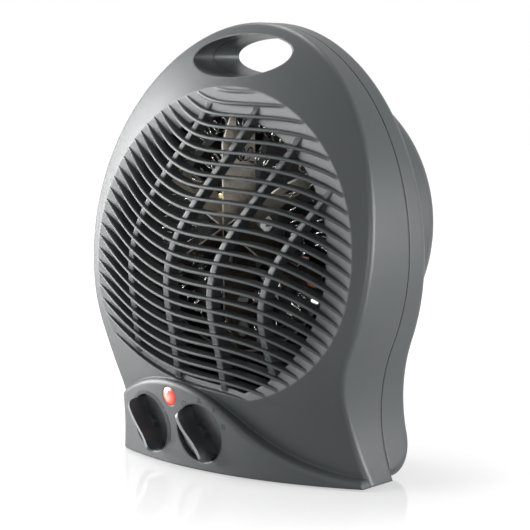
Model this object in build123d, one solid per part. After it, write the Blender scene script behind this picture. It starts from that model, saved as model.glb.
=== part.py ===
"""Upright fan heater: moulded shells, S-fin grille, wire element, axial fan and two control knobs.

Millimetres. Z is up from the table, the front faces -Y, and Y = 0 is the plane where the shells meet.
"""
import os
from math import asin, cos, degrees, pi, radians, sin, sqrt

from build123d import *

# Housing outline, seen from the front
BELLY_HALF = 106.4
BELLY_Z = 131.0
BELLY_RADIUS = 130.0
TOP_Z = 258.0
WAIST_HALF = 87.1
WAIST_Z = 40.0
BASE_Z = 1.2
WALL = 2.5
CREASE_RADIUS = 4.0
SEAM_DEPTH = 0.8
SEAM_HALF_WIDTH = 0.35

# Domed front face, turned about a vertical axis behind the heater
DOME_RADIUS = 250.0
DOME_APEX_Y = -60.5
DOME_APEX_Z = 102.0
CHIN_RADIUS = 150.0
SKIRT_TOP_Z = 45.0

# Front grille
GRILLE_RADIUS = 97.0
GRILLE_LEAN = 5.7
OPENING_RADIUS = 80.0
OPENING_LEDGE = 3.0
FIN_COUNT = 25
FIN_PITCH = 6.765
FIN_TOP_Z = 219.2
FIN_THICKNESS = 1.5
FIN_DEPTH = 8.0
FIN_SETBACK = 0.15
FIN_SLOPE = 0.245
FIN_WAVE = 7.77
FIN_WAVE_LENGTH = 208.5
FIN_WAVE_START = 25.4
FIN_LEFT_HOOK = 0.0056
FIN_LEFT_LAST = 21.4
FIN_RIGHT_HOOK = 0.00096
FIN_RIGHT_FIRST = -13.4
FIN_HOOK_SPAN = 20.0
FIN_STATIONS = 8
RIB_COUNT = 4
RIB_FIRST_X = -59.2
RIB_PITCH = 34.4
RIB_WIDTH = 4.2
RIB_SETBACK = 3.0
RIB_DEPTH = 11.0
RIB_NARROW_Z = 118.0
RIB_NARROW_DROP = 8.0
RIB_WAVE_TOP = 25.0
RIB_WAVE_TOP_HALF = 112.0
RIB_WAVE_BOTTOM = 1.7
RIB_WAVE_BOTTOM_HALF = 36.0
RIB_STATIONS = 10

# Raised control panel
PANEL_Y = -48.5
PANEL_RADIUS = 230.0
PANEL_TILT = 8.0
PANEL_BACK_Y = -20.0
PANEL_EDGE_RADIUS = 3.0
PANEL_CORNER_RADIUS = 21.0
PANEL_LEFT = (-110.0, 14.0)
PANEL_SHOULDER = (-70.0, 42.5)
PANEL_PEAK = (-34.0, 52.4)
PANEL_FALL = (1.0, 46.6)
PANEL_SLOPE = (32.0, 25.6)
PANEL_TOE = (64.0, 11.0)
PANEL_TAIL = (101.0, 5.4)

# Controls: x and z of each centre on the panel
FUNCTION_SPOT = (-4.9, 23.3)
THERMOSTAT_SPOT = (-49.0, 23.3)
LAMP_SPOT = (-26.5, 42.8)
RECESS_RADIUS = 17.4
RECESS_DEPTH = 8.0
RECESS_FLOOR = 2.2
KNOB_RADIUS = 16.6
KNOB_DISC = 4.5
KNOB_GAP = 0.8
KNOB_HUB_RADIUS = 5.2
KNOB_HUB_HEIGHT = 3.0
GRIP_HEIGHT = 11.5
GRIP_TOP_WIDTH = 2.2
GRIP_ROOT_WIDTH = 5.6
GRIP_WAVE = 1.1
KNOB_REST_ANGLE = 31.0
KNOB_EDGE_RADIUS = 0.8
GRIP_END_RADIUS = 4.0
SPINDLE_RADIUS = 3.0
SPINDLE_DEPTH = 12.0
SPINDLE_END_GAP = 0.4
SPINDLE_CLEARANCE = 0.06
BUSH_RADIUS = 4.5
BUSH_RISE = 2.4
BUSH_CLEARANCE = 0.05
NUT_ACROSS = 11.0
NUT_HEIGHT = 2.0
NUT_POCKET_GAP = 1.2
CONTROL_SIDE = 24.0
CONTROL_DEPTH = 16.0
TAB_WIDTH = 6.3
TAB_LENGTH = 8.0
TAB_THICKNESS = 0.8
TAB_SPREAD = 7.0
LENS_RADIUS = 5.5
LENS_RISE = 1.6
LENS_FLANGE = 1.0
LENS_SKIRT = 9.0
LENS_SEAT_GAP = 0.25
NEON_RADIUS = 2.8
NEON_LENGTH = 9.0
LAMP_CLEARANCE = 0.1

# Handle hole through both shells
HANDLE_HALF_LENGTH = 37.0
HANDLE_HALF_HEIGHT = 12.2
HANDLE_Z = 238.7
HANDLE_MOUTH_HALF_LENGTH = 31.5
HANDLE_MOUTH_HALF_HEIGHT = 10.4
HANDLE_MOUTH_Y = 17.0

# Rear shell
REAR_RADIUS = 943.0
REAR_DEPTH = 31.6
REAR_LEAN = 3.4
REAR_EDGE_RADIUS = 6.0
HEEL_RADIUS = 20.0
FOOT_BASE = (75.0, 46.0)
FOOT_ANKLE = (70.0, 42.0)
FOOT_ANKLE_Z = 40.0
FOOT_TOP = (50.0, 20.0)
FOOT_TOP_Z = 110.0
DRUM_RADIUS = 84.0
DRUM_DEPTH = 62.0
DRUM_EDGE_RADIUS = 10.0
INTAKE_RADIUS = 68.0
INTAKE_BAR = 2.4
INTAKE_PITCH = 8.4
INTAKE_HUB = 16.0
INTAKE_SPOKES = 6
INTAKE_SPOKE_WIDTH = 4.0
INTAKE_LIP = 2.5
INTAKE_LIP_THICKNESS = 1.5
INTAKE_CLEARANCE = 0.2

# Fan and motor, on one axis along Y
FAN_Z = 141.0
FAN_RADIUS = 68.5
FAN_FRONT_Y = 5.0
FAN_DEPTH = 14.0
FAN_HUB_RADIUS = 15.0
BLADE_COUNT = 5
BLADE_CHORD = 38.0
BLADE_THICKNESS = 1.8
BLADE_PITCH = 24.0
SHAFT_RADIUS = 2.0
SHAFT_CLEARANCE = 0.03
SHAFT_FRONT_Y = 2.0
SHAFT_REAR_Y = 50.0
CLIP_RADIUS = 5.0
CLIP_THICKNESS = 1.0
BRACKET_Y = 24.0
BRACKET_THICKNESS = 1.5
BRACKET_ARM = 12.0
BRACKET_PLATE_RADIUS = 31.0
BRACKET_POST_R = 77.0
POST_RADIUS = 5.0
STATOR_HALF_WIDTH = 27.0
STATOR_RISE = 22.0
STATOR_DROP = 36.0
STATOR_LEG = 8.0
STATOR_WINDOW_HALF = 15.0
STATOR_WINDOW_HEIGHT = 10.0
STATOR_THICKNESS = 15.0
STATOR_STANDOFF = 2.5
ROTOR_RADIUS = 12.4
ROTOR_AIR_GAP = 0.6
ROTOR_LENGTH = 15.0
WINDING_WRAP = 4.0
WINDING_CLEARANCE = 0.2
WINDING_NOTCH_GAP = 1.0
BEARING_RADIUS = 5.0
BEARING_LENGTH = 4.0
BEARING_CLEARANCE = 0.02
BRIDGE_HEIGHT = 12.0
BRIDGE_THICKNESS = 1.5
BRIDGE_LEG = 2.5
MOTOR_BOLT_X = 21.5

# Air duct, mica boards and heating coils
DUCT_RADIUS = 72.0
DUCT_WALL = 1.2
DUCT_FRONT_Y = -22.0
DUCT_REAR_Y = 22.0
DUCT_POST_R = 93.0
DUCT_EAR_Y = -6.0
DUCT_EAR_THICKNESS = 1.5
DUCT_EAR_WIDTH = 14.0
BOARD_COUNT = 3
BOARD_THICKNESS = 1.0
BOARD_FRONT_Y = -34.0
BOARD_SHOULDER_Y = -22.5
BOARD_REAR_Y = -6.0
BOARD_NOSE_R = 48.0
BOARD_CLEARANCE = 0.15
COIL_Y = -18.0
COIL_RADIUS = 4.0
WIRE_RADIUS = 0.5
COIL_HOLE_CLEARANCE = 0.35
OUTER_COIL_R = 60.0
OUTER_COIL_CURLS = 54
INNER_COIL_R = 42.0
INNER_COIL_CURLS = 38
COIL_GAP_ANGLE = 16.0
CUTOUT_RADIUS = 8.0
CUTOUT_THICKNESS = 5.0
CUTOUT_DROP = 18.0
FUSE_RADIUS = 2.0
FUSE_LENGTH = 11.0
FUSE_RISE = 18.0

# Fasteners, feet and mains entry
SCREW_RADIUS = 1.5
SCREW_HEAD_RADIUS = 3.2
SCREW_HEAD_HEIGHT = 2.2
SCREW_CLEARANCE = 0.05
HEAD_CLEARANCE = 0.4
HOUSING_SCREW_LENGTH = 20.0
SHORT_SCREW_LENGTH = 8.0
BOSS_RADIUS = 5.2
UPPER_BOSS = (82.0, 176.0)
LOWER_BOSS = (80.0, 62.0)
BOSS_WELL_Y = 9.0
FEET_RADIUS = 8.0
FEET_SINK = 1.2
FEET_CLEARANCE = 0.1
FRONT_FEET = (66.0, -20.0)
REAR_FEET = (40.0, 28.0)
GLAND_Z = 16.0
GLAND_FLANGE_RADIUS = 8.3
GLAND_TUBE_RADIUS = 5.1
GLAND_BORE_RADIUS = 3.3
GLAND_FLANGE = 2.5
GLAND_SEAT_Y = 41.5
GLAND_TUBE = 9.0
GLAND_CLEARANCE = 0.1
GLAND_PAD_WALL = 2.0
GLAND_PAD_DEPTH = 6.0
BLOCK_SIZE = (34.0, 15.0, 12.0)
BLOCK_SPOT = (34.0, 18.0)
BLOCK_SCREWS = 3
BLOCK_SCREW_RADIUS = 2.6

# A margin by which cutting tools pass the faces that they cut
OVER = 5.0
FAR = 90.0

DOME_AXIS_Y = DOME_APEX_Y + DOME_RADIUS
GRILLE_OFFSET = sqrt(DOME_RADIUS**2 - GRILLE_RADIUS**2)
STATOR_Y = BRACKET_Y + BRACKET_THICKNESS + STATOR_STANDOFF


def xz_plane(y):
    """Plane of XZ outlines at a value of Y."""
    return Plane(origin=(0, y, 0), x_dir=(1, 0, 0), z_dir=(0, -1, 0))


def along_y(face, start, end):
    """Solid of an XZ outline between two values of Y."""
    return extrude(xz_plane(end) * face, amount=end - start, dir=(0, -1, 0))


def rod(x, z, radius, start, end):
    """Cylinder along Y."""
    return Pos(x, (start + end) / 2, z) * Rot(90, 0, 0) * Cylinder(radius, end - start)


def on_axis(radius, start, end):
    """Cylinder on the fan axis."""
    return rod(0, FAN_Z, radius, start, end)


def ring_spots(radius, count, first):
    """X and Z of places spread evenly round the fan axis."""
    turns = [radians(first + 360 * index / count) for index in range(count)]
    return [(radius * cos(turn), FAN_Z + radius * sin(turn)) for turn in turns]


def pair(spot):
    """A place and its mirror image across X = 0."""
    return [spot, (-spot[0], spot[1])]


def boss_spots():
    """Places of the screws that hold the two shells together."""
    return pair(UPPER_BOSS) + pair(LOWER_BOSS)


def outline(inset):
    """Housing outline: an elliptical top, belly arcs and flared waist arcs, moved in by inset."""
    narrowing = BELLY_HALF - WAIST_HALF
    drop = BELLY_Z - WAIST_Z
    centre_gap = (narrowing**2 + drop**2) / (2 * narrowing)
    turn = degrees(asin(drop / centre_gap))
    waist_radius = centre_gap - BELLY_RADIUS + inset
    waist_x = WAIST_HALF - inset + waist_radius
    bottom = BASE_Z + inset
    flare = degrees(asin((WAIST_Z - bottom) / waist_radius))
    belly = CenterArc((BELLY_HALF - BELLY_RADIUS, BELLY_Z), BELLY_RADIUS - inset, 0, -turn)
    waist = CenterArc((waist_x, WAIST_Z), waist_radius, 180 - turn, turn + flare)
    top = EllipticalCenterArc((0, BELLY_Z), BELLY_HALF - inset, TOP_Z - BELLY_Z - inset, arc_size=180)
    left = [mirror(arc, about=Plane.YZ).edge() for arc in (belly, waist)]
    base_half = waist_x - waist_radius * cos(radians(flare))
    base = Line((base_half, bottom), (-base_half, bottom))
    return Face(Wire([top, belly, waist, base] + left))


def seam():
    """Shallow groove round the housing where the shells meet."""
    ring = along_y(outline(-SEAM_DEPTH), -SEAM_HALF_WIDTH, SEAM_HALF_WIDTH)
    return ring - along_y(outline(SEAM_DEPTH), -OVER, OVER)


def dome(inset):
    """Barrel whose front is the domed face: a sphere above, a tighter chin and a hollow skirt below."""
    chin_turn = asin((DOME_APEX_Z - SKIRT_TOP_Z) / CHIN_RADIUS)
    skirt_radius = (SKIRT_TOP_Z - BASE_Z) / sin(chin_turn)
    chin_r = DOME_RADIUS - CHIN_RADIUS
    skirt_r = chin_r + (CHIN_RADIUS + skirt_radius) * cos(chin_turn)
    radius = DOME_RADIUS - inset
    top_turn = asin((TOP_Z + OVER - DOME_APEX_Z) / radius)
    turn = degrees(chin_turn)
    crown = CenterArc((0, DOME_APEX_Z), radius, 0, degrees(top_turn))
    chin = CenterArc((chin_r, DOME_APEX_Z), CHIN_RADIUS - inset, -turn, turn)
    skirt = CenterArc((skirt_r, BASE_Z), skirt_radius + inset, 180 - turn, turn)
    foot_r = skirt_r - skirt_radius - inset
    foot = Polyline((foot_r, BASE_Z), (foot_r, BASE_Z - OVER), (0, BASE_Z - OVER), (0, TOP_Z + OVER))
    lid = Line((0, TOP_Z + OVER), (radius * cos(top_turn), TOP_Z + OVER))
    profile = Face(Wire([crown, chin, skirt] + foot.edges() + [lid]))
    back = Plane(origin=(0, DOME_AXIS_Y, 0), x_dir=(0, 1, 0), z_dir=(1, 0, 0))
    return revolve(back * profile, axis=Axis((0, DOME_AXIS_Y, 0), (0, 0, 1)))


def grille_plane(offset):
    """Leaning plane of the grille rim, moved forward along its own axis."""
    lean = radians(GRILLE_LEAN)
    normal = Vector(0, -cos(lean), sin(lean))
    centre = Vector(0, DOME_AXIS_Y, DOME_APEX_Z) + normal * (GRILLE_OFFSET + offset)
    return Plane(origin=centre, x_dir=(1, 0, 0), z_dir=normal)


def grille_round(radius):
    """Cylinder on the grille's leaning axis."""
    return grille_plane(0) * Cylinder(radius, FAR)


def ahead_of_grille(offset):
    """Everything in front of the grille plane."""
    side = 4 * GRILLE_RADIUS
    return grille_plane(offset) * Box(side, side, FAR, align=(Align.CENTER, Align.CENTER, Align.MIN))


def fin_height(index, x):
    """Height of one fin's centre line: a wave on a slope, its ends hooked up at left and down at right."""
    turn = 2 * pi / FIN_WAVE_LENGTH
    wave = sin(turn * (x - FIN_WAVE_START)) + sin(turn * FIN_WAVE_START)
    if x < 0:
        hook = FIN_LEFT_HOOK * max(0, (FIN_LEFT_LAST - index) / FIN_HOOK_SPAN) ** 2
    else:
        hook = -FIN_RIGHT_HOOK * ((index - FIN_RIGHT_FIRST) / FIN_HOOK_SPAN) ** 2
    return FIN_TOP_Z - FIN_PITCH * index - FIN_SLOPE * x + FIN_WAVE * wave + hook * x**2


def fin_stations():
    """Values of X at which the fin waves are drawn."""
    return [GRILLE_RADIUS * step / FIN_STATIONS for step in range(-FIN_STATIONS, FIN_STATIONS + 1)]


def fin_line(index):
    """Points along one fin's centre line, as X and Z."""
    return [(x, fin_height(index, x)) for x in fin_stations()]


def rib_x(index, z):
    """X of one rib: leaning over to the right above its narrow height, and gently waved below it."""
    rise = z - RIB_NARROW_Z + RIB_NARROW_DROP * index
    wave = RIB_WAVE_TOP if rise > 0 else RIB_WAVE_BOTTOM
    half = RIB_WAVE_TOP_HALF if rise > 0 else RIB_WAVE_BOTTOM_HALF
    return RIB_FIRST_X + RIB_PITCH * index + wave * (1 - cos(pi * rise / half))


def rib_line(index):
    """Points along one upright rib's centre line, as X and Z."""
    centre = grille_plane(0).origin.Z
    steps = range(-RIB_STATIONS, RIB_STATIONS + 1)
    heights = [centre + GRILLE_RADIUS * step / RIB_STATIONS for step in steps]
    return [(rib_x(index, z), z) for z in heights]


def above_last_slot(rise):
    """Everything above the lower edge of the last slot."""
    edge = [(x, fin_height(FIN_COUNT, x) + rise) for x in fin_stations()]
    side = Polyline(edge[-1], (edge[-1][0], TOP_Z), (edge[0][0], TOP_Z), edge[0])
    return along_y(Face(Wire([Spline(edge)] + side.edges())), -FAR, 0)


def dome_y(x, z, inset):
    """Y of the domed face, moved in by inset."""
    rise = z - DOME_APEX_Z
    radius = DOME_RADIUS if rise > 0 else CHIN_RADIUS
    reach = DOME_RADIUS - radius + sqrt((radius - inset) ** 2 - rise**2)
    return DOME_AXIS_Y - sqrt(reach**2 - x**2)


def grille_bar(line, half_x, half_z, setback, depth):
    """Bar along a line of the grille, whose front and back edges follow the dome."""
    sections = []
    for x, z in line:
        front = dome_y(x, z, setback)
        back = dome_y(x, z, depth)
        near = [(x - half_x, y, z - half_z) for y in (front, back)]
        far = [(x + half_x, y, z + half_z) for y in (back, front)]
        sections.append(Face(Wire.make_polygon(near + far)))
    return loft(sections) & grille_round(GRILLE_RADIUS)


def panel_face(inset):
    """Swoosh outline of the control panel, seen from the front."""
    crest = [PANEL_LEFT, PANEL_SHOULDER, PANEL_PEAK]
    points = crest + [PANEL_FALL, PANEL_SLOPE, PANEL_TOE, PANEL_TAIL]
    swoosh = [(x, z - inset) for x, z in points]
    low = BASE_Z - OVER
    side = Polyline(swoosh[-1], (swoosh[-1][0], low), (swoosh[0][0], low), swoosh[0])
    return Face(Wire([Spline(swoosh)] + side.edges()))


def panel_axis_y():
    """Y at which the panel's cylinder axis crosses Z = 0."""
    return PANEL_Y + PANEL_RADIUS / cos(radians(PANEL_TILT))


def panel(inset):
    """Raised control panel: its face, part of a large leaning cylinder, rounds into the left side."""
    barrel = Pos(0, panel_axis_y(), 0) * Rot(PANEL_TILT, 0, 0) * Cylinder(PANEL_RADIUS - inset, 4 * FAR)
    back = PANEL_BACK_Y + inset
    body = along_y(panel_face(inset), -FAR, back) & barrel & along_y(outline(inset), -FAR, back)
    face = body.faces().filter_by(GeomType.CYLINDER).sort_by(Axis.Y)[0]
    corner = face.edges().sort_by(Axis.X)[0]
    return fillet(corner, PANEL_CORNER_RADIUS - inset)


def panel_plane(spot):
    """Plane on the panel's face at a given X and Z, with its normal outward and its y up the face."""
    tilt = radians(PANEL_TILT)
    up = Vector(0, -sin(tilt), cos(tilt))
    out = Vector(0, -cos(tilt), -sin(tilt))
    side = spot[0] / PANEL_RADIUS
    normal = Vector(1, 0, 0) * side + out * sqrt(1 - side**2)
    climb = (spot[1] - PANEL_RADIUS * normal.Z) / cos(tilt)
    point = Vector(0, panel_axis_y(), 0) + up * climb + normal * PANEL_RADIUS
    return Plane(origin=point, x_dir=up.cross(normal), z_dir=normal)


def post(plane, radius, start, end):
    """Cylinder along a plane's normal."""
    return plane * Pos(0, 0, (start + end) / 2) * Cylinder(radius, end - start)


def crease_edges(body):
    """Edges where the domed face meets the side wall."""
    round_types = (GeomType.SPHERE, GeomType.TORUS)
    dome_faces = [face for face in body.faces() if face.geom_type in round_types]
    flat = [face for face in body.faces() if face.geom_type == GeomType.PLANE]
    side = [face for face in body.faces() if face not in dome_faces + flat]
    side_edges = [edge for face in side for edge in face.edges()]
    return [edge for face in dome_faces for edge in face.edges() if edge in side_edges]


def rounded_panel():
    """The raised panel with its top edge rounded."""
    swoosh = panel(0).faces().filter_by(GeomType.EXTRUSION).sort_by(SortBy.AREA)[-1]
    front = [edge for edge in swoosh.edges() if edge.center().Y < PANEL_BACK_Y - OVER / 2]
    return fillet([edge for edge in front if edge.geom_type != GeomType.LINE], PANEL_EDGE_RADIUS)


def handle_face(half_length, half_height, grow):
    """Elliptical section of the handle's tunnel, grown by a wall."""
    return Pos(0, HANDLE_Z) * Ellipse(half_length + grow, half_height + grow)


def handle_hole(grow, start, end):
    """Tunnel of the handle in the front shell."""
    return along_y(handle_face(HANDLE_HALF_LENGTH, HANDLE_HALF_HEIGHT, grow), start, end)


def handle_mouth(grow):
    """Tunnel of the handle in the rear shell, which narrows towards the back."""
    wide = handle_face(HANDLE_HALF_LENGTH, HANDLE_HALF_HEIGHT, grow)
    narrow = handle_face(HANDLE_MOUTH_HALF_LENGTH, HANDLE_MOUTH_HALF_HEIGHT, grow)
    funnel = loft([xz_plane(0) * wide, xz_plane(HANDLE_MOUTH_Y) * narrow])
    return along_y(wide, -OVER, 0) + funnel + along_y(narrow, HANDLE_MOUTH_Y, FAR)


def foot_pockets(spot):
    """Pockets in the underside for one pair of feet."""
    deep = BASE_Z + FEET_SINK
    places = pair(spot)
    return [Pos(x, y, deep / 2) * Cylinder(FEET_RADIUS + FEET_CLEARANCE, deep) for x, y in places]


def front_housing():
    """Front shell, with grille, handle half, control panel and screw bosses in one moulding."""
    body = along_y(outline(0), -FAR, 0) & dome(0)
    body = fillet(crease_edges(body), CREASE_RADIUS)
    body += rounded_panel()
    hollow = (along_y(outline(WALL), -FAR, OVER) & dome(WALL)) - ahead_of_grille(-WALL)
    hollow += panel(WALL)
    shell = body - hollow
    shell += handle_hole(WALL, -FAR, 0) & body
    for x, z in boss_spots():
        shell += rod(x, z, BOSS_RADIUS, -FAR, 0) & body
    shell -= ahead_of_grille(0) & above_last_slot(0)
    shell -= grille_round(OPENING_RADIUS) & above_last_slot(OPENING_LEDGE)
    shell -= handle_hole(0, -FAR, OVER)
    for spot in (FUNCTION_SPOT, THERMOSTAT_SPOT):
        plane = panel_plane(spot)
        shell += post(plane, RECESS_RADIUS + WALL, control_seat(), -WALL / 2)
        shell -= post(plane, RECESS_RADIUS, -RECESS_DEPTH, OVER)
        shell -= post(plane, BUSH_RADIUS + BUSH_CLEARANCE, control_seat() - OVER, 0)
    shell -= post(panel_plane(LAMP_SPOT), LENS_RADIUS + LAMP_CLEARANCE, -OVER, OVER)
    for x, z in boss_spots():
        shell -= rod(x, z, SCREW_RADIUS + SCREW_CLEARANCE, -HOUSING_SCREW_LENGTH, OVER)
    shell -= foot_pockets(FRONT_FEET)
    shell -= seam()
    lines = [fin_line(index) for index in range(FIN_COUNT)]
    bars = [grille_bar(line, 0, FIN_THICKNESS / 2, FIN_SETBACK, FIN_DEPTH) for line in lines]
    lines = [rib_line(index) for index in range(RIB_COUNT)]
    ribs = [grille_bar(line, RIB_WIDTH / 2, 0, RIB_SETBACK, RIB_DEPTH) for line in lines]
    return shell + bars + [rib & above_last_slot(-WALL) for rib in ribs]


def rear_main(inset, start):
    """Rear shell without its drum and foot: a leaning, gently curved back over a rounded heel."""
    axis_y = REAR_DEPTH - REAR_RADIUS / cos(radians(REAR_LEAN))
    barrel = Pos(0, axis_y, 0) * Rot(REAR_LEAN, 0, 0) * Cylinder(REAR_RADIUS - inset, 8 * FAR)
    body = along_y(outline(inset), start, FAR) & barrel
    back = body.faces().sort_by(Axis.Y)[-1]
    body = fillet(back.edges().sort_by(Axis.Z)[0], HEEL_RADIUS - inset)
    behind = [edge for edge in body.edges() if edge.center().Y > start + OVER]
    curved = [edge for edge in behind if edge.geom_type != GeomType.LINE]
    rim = [edge for edge in curved if abs(edge.center().X) > WALL or edge.center().Z > FAN_Z]
    return fillet(rim, REAR_EDGE_RADIUS - inset)


def rear_foot(inset):
    """Rear foot: half ellipses in plan that narrow upward into the back."""
    sizes = [(BASE_Z + inset, FOOT_BASE), (FOOT_ANKLE_Z, FOOT_ANKLE), (FOOT_TOP_Z, FOOT_TOP)]
    return loft([Pos(0, 0, z) * Ellipse(half - inset, depth - inset) for z, (half, depth) in sizes])


def rear_drum(inset, start):
    """Round intake drum on the fan axis, with a rounded rear edge."""
    drum = on_axis(DRUM_RADIUS - inset, start, DRUM_DEPTH - inset)
    rim = drum.edges().sort_by(Axis.Y)[-1]
    return fillet(rim, DRUM_EDGE_RADIUS - inset)


def rear_solid(inset, start):
    """Whole rear form, moved in by inset."""
    foot = rear_foot(inset) & along_y(outline(inset), start, FAR)
    return rear_main(inset, start) + foot + rear_drum(inset, start)


def rear_housing():
    """Rear shell, with intake drum, handle half, screw wells and the posts for duct and motor."""
    body = rear_solid(0, 0)
    shell = body - rear_solid(WALL, -OVER)
    shell += handle_mouth(WALL) & body
    shell -= handle_mouth(0)
    for x, z in boss_spots():
        shell += rod(x, z, BOSS_RADIUS, 0, FAR) & body
        shell -= rod(x, z, SCREW_HEAD_RADIUS + HEAD_CLEARANCE, BOSS_WELL_Y, FAR)
        shell -= rod(x, z, SCREW_RADIUS + SCREW_CLEARANCE, -OVER, BOSS_WELL_Y + OVER)
    hole = SCREW_RADIUS + SCREW_CLEARANCE
    for x, z in duct_spots():
        shell += rod(x, z, POST_RADIUS, DUCT_EAR_Y, 0)
        shell += rod(x, z, POST_RADIUS, 0, FAR) & body
        shell -= rod(x, z, hole, DUCT_EAR_Y - OVER, DUCT_EAR_Y + SHORT_SCREW_LENGTH)
    for x, z in bracket_spots():
        rear = BRACKET_Y + BRACKET_THICKNESS
        shell += rod(x, z, POST_RADIUS, rear, FAR) & body
        shell -= rod(x, z, hole, rear - OVER, rear + SHORT_SCREW_LENGTH)
    shell -= on_axis(INTAKE_RADIUS, BRACKET_Y, FAR)
    pad = GLAND_FLANGE_RADIUS + GLAND_CLEARANCE + GLAND_PAD_WALL
    shell += rod(0, GLAND_Z, pad, GLAND_SEAT_Y - GLAND_PAD_DEPTH, FAR) & body
    shell -= rod(0, GLAND_Z, GLAND_FLANGE_RADIUS + GLAND_CLEARANCE, GLAND_SEAT_Y, FAR)
    shell -= rod(0, GLAND_Z, GLAND_TUBE_RADIUS + GLAND_CLEARANCE, BRACKET_Y, FAR)
    shell -= seam()
    return shell - foot_pockets(REAR_FEET)


def duct_spots():
    """Places of the posts that carry the air duct."""
    return ring_spots(DUCT_POST_R, 4, 45)


def bracket_spots():
    """Places of the posts that carry the motor bracket."""
    return ring_spots(BRACKET_POST_R, 4, 45)


def tube(outer, inner, start, end):
    """Ring on the fan axis."""
    return on_axis(outer, start, end) - on_axis(inner, start - OVER, end + OVER)


def intake_grille():
    """Rear grille that drops into the drum from inside: rings on spokes, with a lip."""
    plug = INTAKE_RADIUS - INTAKE_CLEARANCE
    inner = DRUM_DEPTH - WALL
    grille = tube(plug, plug - INTAKE_BAR, inner, DRUM_DEPTH)
    grille += tube(INTAKE_RADIUS + INTAKE_LIP, plug - INTAKE_BAR, inner - INTAKE_LIP_THICKNESS, inner)
    grille += on_axis(INTAKE_HUB, inner, DRUM_DEPTH)
    rings = int((plug - INTAKE_BAR - INTAKE_HUB) / INTAKE_PITCH)
    for index in range(1, rings + 1):
        radius = INTAKE_HUB + INTAKE_PITCH * index
        grille += tube(radius, radius - INTAKE_BAR, inner, DRUM_DEPTH)
    for index in range(INTAKE_SPOKES):
        spoke = Pos(plug / 2, 0, 0) * Box(plug, INTAKE_SPOKE_WIDTH, WALL)
        turned = Rot(0, 0, 360 * index / INTAKE_SPOKES) * spoke
        grille += Pos(0, inner + WALL / 2, FAN_Z) * Rot(90, 0, 0) * turned & on_axis(plug, inner, DRUM_DEPTH)
    return grille


def air_duct():
    """Sheet ring round the fan and the element, with ears on the rear shell's posts."""
    outer = DUCT_RADIUS + DUCT_WALL
    duct = on_axis(outer, DUCT_FRONT_Y, DUCT_REAR_Y)
    ear_rear = DUCT_EAR_Y
    ear_front = DUCT_EAR_Y - DUCT_EAR_THICKNESS
    for index in range(4):
        reach = DUCT_POST_R + DUCT_EAR_WIDTH / 2
        bar = Pos(reach / 2, 0, 0) * Box(reach, DUCT_EAR_WIDTH, DUCT_EAR_THICKNESS)
        turned = Rot(90, 0, 0) * Rot(0, 0, 45 + 90 * index) * bar
        duct += Pos(0, (ear_front + ear_rear) / 2, FAN_Z) * turned
    duct -= on_axis(DUCT_RADIUS, DUCT_FRONT_Y - OVER, DUCT_REAR_Y + OVER)
    for x, z in duct_spots():
        duct -= rod(x, z, SCREW_RADIUS + SCREW_CLEARANCE, ear_front - OVER, ear_rear + OVER)
    for angle in board_angles():
        slot_length = BOARD_REAR_Y - DUCT_FRONT_Y + OVER
        slot = Box(2 * outer + OVER, slot_length, BOARD_THICKNESS + 2 * BOARD_CLEARANCE)
        duct -= Pos(0, BOARD_REAR_Y - slot_length / 2, FAN_Z) * Rot(0, angle, 0) * slot
    return duct


def board_angles():
    """Turn of each mica board about the fan axis; the second one stands upright."""
    return [30 + 180 * index / BOARD_COUNT for index in range(BOARD_COUNT)]


def mica_board(index):
    """Mica sheet across the duct, holed for the coils and lapped into the others on the axis."""
    tip = DUCT_RADIUS + DUCT_WALL
    tail = [(0, BOARD_REAR_Y), (tip, BOARD_REAR_Y), (tip, BOARD_SHOULDER_Y)]
    nose = [(BOARD_NOSE_R, BOARD_FRONT_Y), (0, BOARD_FRONT_Y), (0, BOARD_REAR_Y)]
    half = Face(Wire(Polyline(*tail, *nose).edges()))
    face = half + mirror(half, about=Plane.YZ)
    hole = COIL_RADIUS + WIRE_RADIUS + COIL_HOLE_CLEARANCE
    for radius in (OUTER_COIL_R, INNER_COIL_R):
        for side in (-1, 1):
            face -= Pos(side * radius, COIL_Y) * Circle(hole)
    lap = (BOARD_REAR_Y - BOARD_FRONT_Y) / BOARD_COUNT
    gap = BOARD_CLEARANCE / 2
    notch = Rectangle(2 * (BOARD_THICKNESS + BOARD_CLEARANCE), FAR)
    if index > 0:
        face -= Pos(0, BOARD_FRONT_Y + lap * index + gap - FAR / 2) * notch
    if index < BOARD_COUNT - 1:
        face -= Pos(0, BOARD_FRONT_Y + lap * (index + 1) - gap + FAR / 2) * notch
    sheet = extrude(face, amount=BOARD_THICKNESS / 2, both=True)
    return Pos(0, 0, FAN_Z) * Rot(0, board_angles()[index], 0) * sheet


def coil_point(radius, curls, share):
    """Point and direction on a coil that runs round the fan axis, at a share of its length."""
    start = radians(-90 + COIL_GAP_ANGLE / 2)
    sweep_angle = radians(360 - COIL_GAP_ANGLE)
    turn = start + sweep_angle * share
    curl = 2 * pi * curls * share
    reach = radius + COIL_RADIUS * cos(curl)
    point = Vector(reach * cos(turn), COIL_Y + COIL_RADIUS * sin(curl), FAN_Z + reach * sin(turn))
    reach_rate = -COIL_RADIUS * sin(curl) * 2 * pi * curls
    along = Vector(
        reach_rate * cos(turn) - reach * sin(turn) * sweep_angle,
        COIL_RADIUS * cos(curl) * 2 * pi * curls,
        reach_rate * sin(turn) + reach * cos(turn) * sweep_angle,
    )
    return point, along.normalized()


def biarc(first, second):
    """Two tangent arcs from one point and direction to the next."""
    start, leave = first
    end, arrive = second
    span = end - start
    both = leave + arrive
    bend = 2 * (1 - leave.dot(arrive))
    pull = span.dot(both)
    reach = (sqrt(pull**2 + bend * span.dot(span)) - pull) / bend
    middle = (start + leave * reach + end - arrive * reach) * 0.5
    turn_in = (end - arrive * reach - middle).normalized()
    return [Edge.make_tangent_arc(start, leave, middle), Edge.make_tangent_arc(middle, turn_in, end)]


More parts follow.
